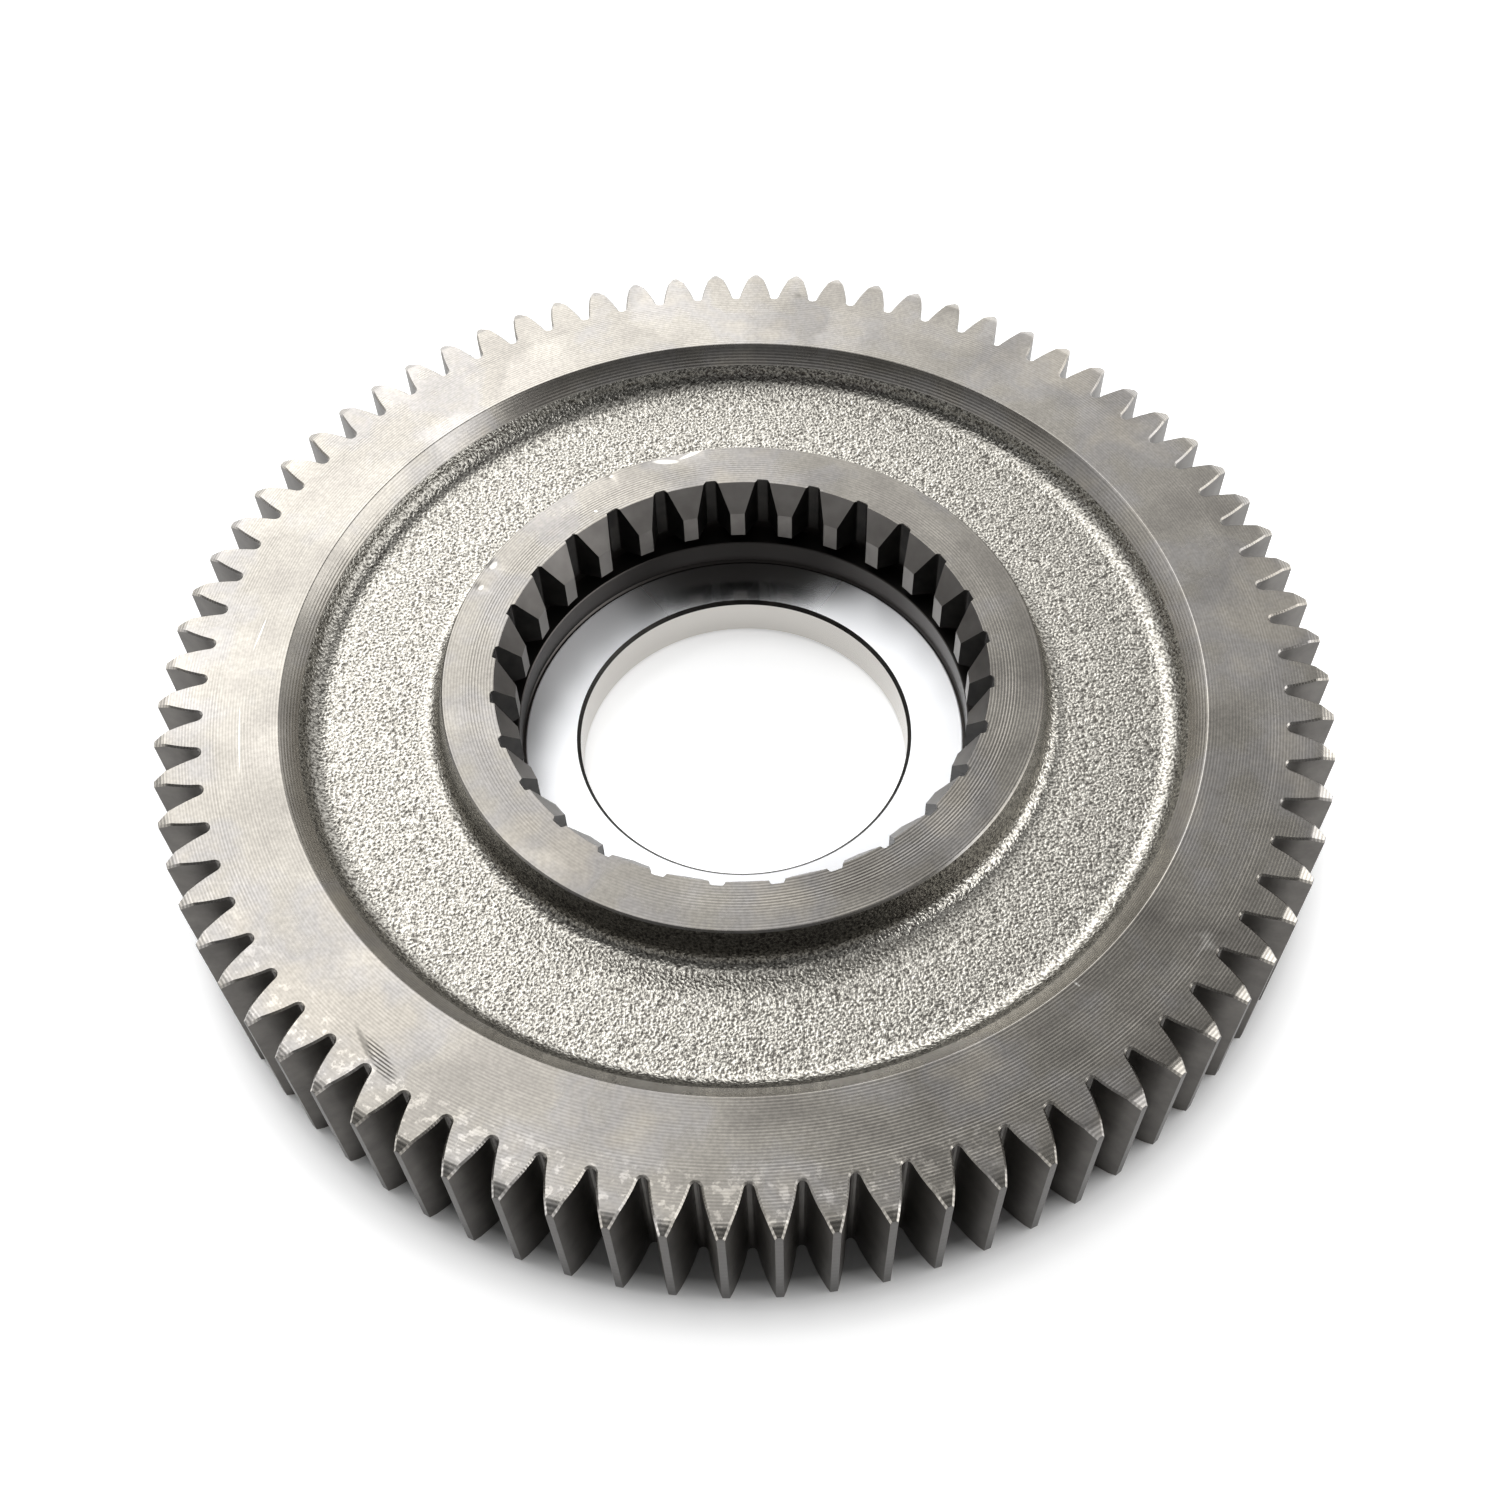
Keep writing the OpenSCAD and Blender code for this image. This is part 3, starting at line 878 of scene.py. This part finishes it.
finishes = [turned_steel, hobbed_steel, land_steel, blasted_steel, lead_steel, shaped_shaded_steel,
            bored_steel, lapped_steel, ground_steel]
bm = bmesh.new()
for zone in [rim, *webs, hub, *rings]:
    first = len(bm.faces)
    bm.from_mesh(zone)
    bm.faces.ensure_lookup_table()
    for face in bm.faces[first:]:
        face.material_index = finishes.index(zone.materials[face.material_index])
bmesh.ops.remove_doubles(bm, verts=bm.verts, dist=4 * WELD)
for vert in bm.verts:
    x, y, z = (c / MM for c in vert.co)
    if z > face_w - knock_below:
        vert.co.z -= knock_depth(x, y) * MM
bmesh.ops.recalc_face_normals(bm, faces=bm.faces)
web_index = finishes.index(blasted_steel)
for edge in bm.edges:
    on_web = all(face.material_index == web_index for face in edge.link_faces)
    edge.smooth = on_web or edge.calc_face_angle() < sharp_angle
for face in bm.faces:
    face.smooth = True
gear_mesh = bpy.data.meshes.new("gear")
for finish in finishes:
    gear_mesh.materials.append(finish)
bm.to_mesh(gear_mesh)
bm.free()
gear = bpy.data.objects.new("gear", gear_mesh)
bpy.context.scene.collection.objects.link(gear)
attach(gear, "root")
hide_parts("transmission_gear")


# Table: a plain white sheet of paper that the gear lies on. It is drawn darker under the gear,
# to keep the shadow between the teeth deep, and shows white all round it.
floor_mesh = bpy.data.meshes.new("floor")
floor_half = 3000
floor_gap = 0.02
bore_shadow = (60, 40)
shadow_r = tip_r - 4
clear_r = tip_r + 3
white_r = tip_r + 8
floor_mesh.from_pydata([(x * floor_half * MM, y * floor_half * MM, -floor_gap * MM)
                        for x, y in ((-1, -1), (1, -1), (1, 1), (-1, 1))], [], [(0, 1, 2, 3)])
floor = bpy.data.objects.new("floor", floor_mesh)
bpy.context.scene.collection.objects.link(floor)


def shown_rays(tree):
    """1 for the rays that show a surface in the picture, in metal or through glass."""
    rays = add(tree, "ShaderNodeLightPath").outputs
    return strongest(tree, [rays[f"Is {kind} Ray"]
                            for kind in ("Camera", "Glossy", "Transmission")])


white_sheet, tree, shader = finish_of("white_sheet")
at = add(tree, "ShaderNodeTexCoord").outputs["Object"]
away = add(tree, "ShaderNodeVectorMath", {0: at}, operation="LENGTH").outputs["Value"]
in_bore = rise(tree, away, *bore_shadow)
shown = shown_rays(tree)
clear = strongest(tree, [in_bore, rise(tree, away, shadow_r, clear_r)])
paper = blend(tree, shown, linear("#f4f4f3"), scaled(tree, clear, 0.0, 1.0, 0.5, 1.0))
sheet = add(tree, "ShaderNodeBsdfDiffuse", {"Color": paper})
white = strongest(tree, [in_bore, rise(tree, away, shadow_r, white_r)])
glow = add(tree, "ShaderNodeEmission", {"Strength": product(tree, [shown, white, 0.45])})
both = add(tree, "ShaderNodeAddShader", {0: sheet.outputs[0], 1: glow.outputs[0]})
tree.links.new(both.outputs[0], tree.nodes["Material Output"].inputs["Surface"])
tree.nodes.remove(shader)
white_sheet.cycles.emission_sampling = "NONE"
floor_mesh.materials.append(white_sheet)


# Light: a wide window on the left and behind, in a plain room that is pale at the back and dim
# in front, with a soft panel to the right, a small one overhead, and a white backdrop all round.
window_level = 2.5
back_wall_level = 1.5
world = bpy.data.worlds.new("studio")
world.use_nodes = True
tree = world.node_tree
towards = add(tree, "ShaderNodeTexCoord").outputs["Generated"]
depth, height = add(tree, "ShaderNodeSeparateXYZ", {0: towards}).outputs[1:]
aside = add(tree, "ShaderNodeVectorMath", {0: towards, 1: (1, -0.12, 0)},
            operation="DOT_PRODUCT").outputs["Value"]
window = product(tree, [eased(tree, aside, 0.045, -0.29, 0.0, window_level),
                        eased(tree, depth, -0.19, 0.2, 0.0, 1.0),
                        scaled(tree, depth, 0.5, 0.66, 1.0, 1.3),
                        eased(tree, height, 0.12, 0.73, 0.0, 1.0)])
room = add(tree, "ShaderNodeMath", {
    0: scaled(tree, depth, -0.8, 0.35, 0.1, 0.24),
    1: eased(tree, depth, 0.4, 0.92, 0.0, back_wall_level)}).outputs[0]
level = add(tree, "ShaderNodeMath", {0: window, 1: room}).outputs[0]
backdrop = product(tree, [shown_rays(tree), eased(tree, height, 0.45, 0.2, 0.0, 1.0)])
tree.links.new(strongest(tree, [level, backdrop]), tree.nodes["Background"].inputs["Strength"])
tree.nodes["Background"].inputs["Color"].default_value = (1, 1, 1, 1)
bpy.context.scene.world = world
for name, azimuth, elevation, distance, size, power in (
        ("right_panel", 0, 30, 1.3, (1.2, 0.9), 10.0),
        ("top_panel", -90, 78, 1.3, (0.7, 0.4), 0.8)):
    lamp = bpy.data.lights.new(name, "AREA")
    lamp.shape = "RECTANGLE"
    lamp.size, lamp.size_y = size
    lamp.energy = power
    lamp_object = bpy.data.objects.new(name, lamp)
    a, e = math.radians(azimuth), math.radians(elevation)
    direction = Vector((math.cos(a) * math.cos(e), math.sin(a) * math.cos(e), math.sin(e)))
    lamp_object.location = direction * distance
    lamp_object.rotation_euler = direction.to_track_quat("Z", "Y").to_euler()
    bpy.context.scene.collection.objects.link(lamp_object)


# Camera: above and in front of the gear, as the photograph was taken, and aimed a little off the
# middle of the hub face, so that the gear sits in the frame as it does there.
camera_turn = math.radians(1.157)
camera_elevation = math.radians(53.187)
camera_distance = 388.6
camera_aim = (math.radians(-0.168), math.radians(-2.64), math.radians(-2.268))
camera_data = bpy.data.cameras.new("camera")
camera_data.sensor_width = 36
camera_data.lens = 43.5
camera = bpy.data.objects.new("camera", camera_data)
facing = (Matrix.Rotation(camera_turn, 4, "Z")
          @ Matrix.Rotation(math.pi / 2 - camera_elevation, 4, "X"))
aim = (Matrix.Rotation(camera_aim[0], 4, "Y") @ Matrix.Rotation(camera_aim[1], 4, "X")
       @ Matrix.Rotation(camera_aim[2], 4, "Z"))
away = facing @ Vector((0, 0, camera_distance * MM))
camera.matrix_world = Matrix.Translation(away + Vector((0, 0, face_w * MM))) @ facing @ aim
bpy.context.scene.collection.objects.link(camera)
bpy.context.scene.camera = camera

bpy.context.scene.view_settings.view_transform = "Standard"
